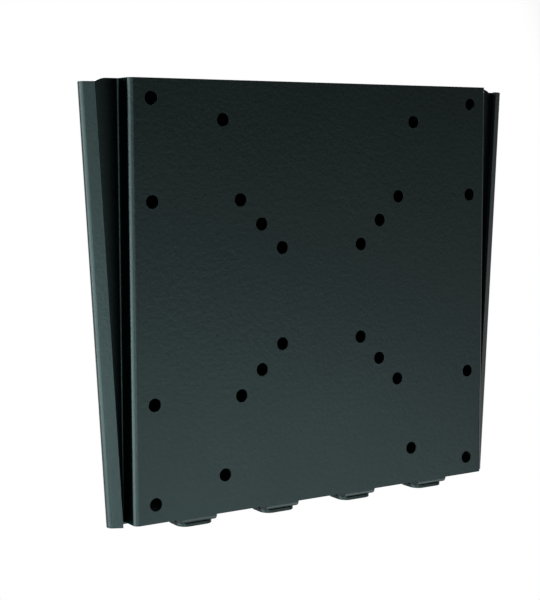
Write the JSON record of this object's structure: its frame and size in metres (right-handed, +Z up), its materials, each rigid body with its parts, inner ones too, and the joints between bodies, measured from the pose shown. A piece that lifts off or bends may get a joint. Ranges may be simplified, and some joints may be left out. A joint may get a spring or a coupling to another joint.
{
  "type": "slim fixed tv wall mount",
  "caption": "Slim two-piece steel TV wall mount: a tapered wall plate with folded rails, and a drilled TV plate whose side lips slide down into them.",
  "frame": {"origin": "on the wall face of the wall plate, straight behind the middle of the TV hole patterns", "axes": "+Z up the wall, +X along the wall to the viewer's right, +Y into the wall; the TV hangs on the -Y side"},
  "size_m": [0.2645, 0.0165, 0.2243],
  "materials": {
    "tv_plate_coat": "black satin powder coat on steel sheet",
    "wall_plate_coat": "black satin powder coat on steel sheet"
  },
  "bodies": {
    "root": {"tv_plate": "tv_plate_coat", "wall_plate": "wall_plate_coat"}
  },
  "joints": []
}
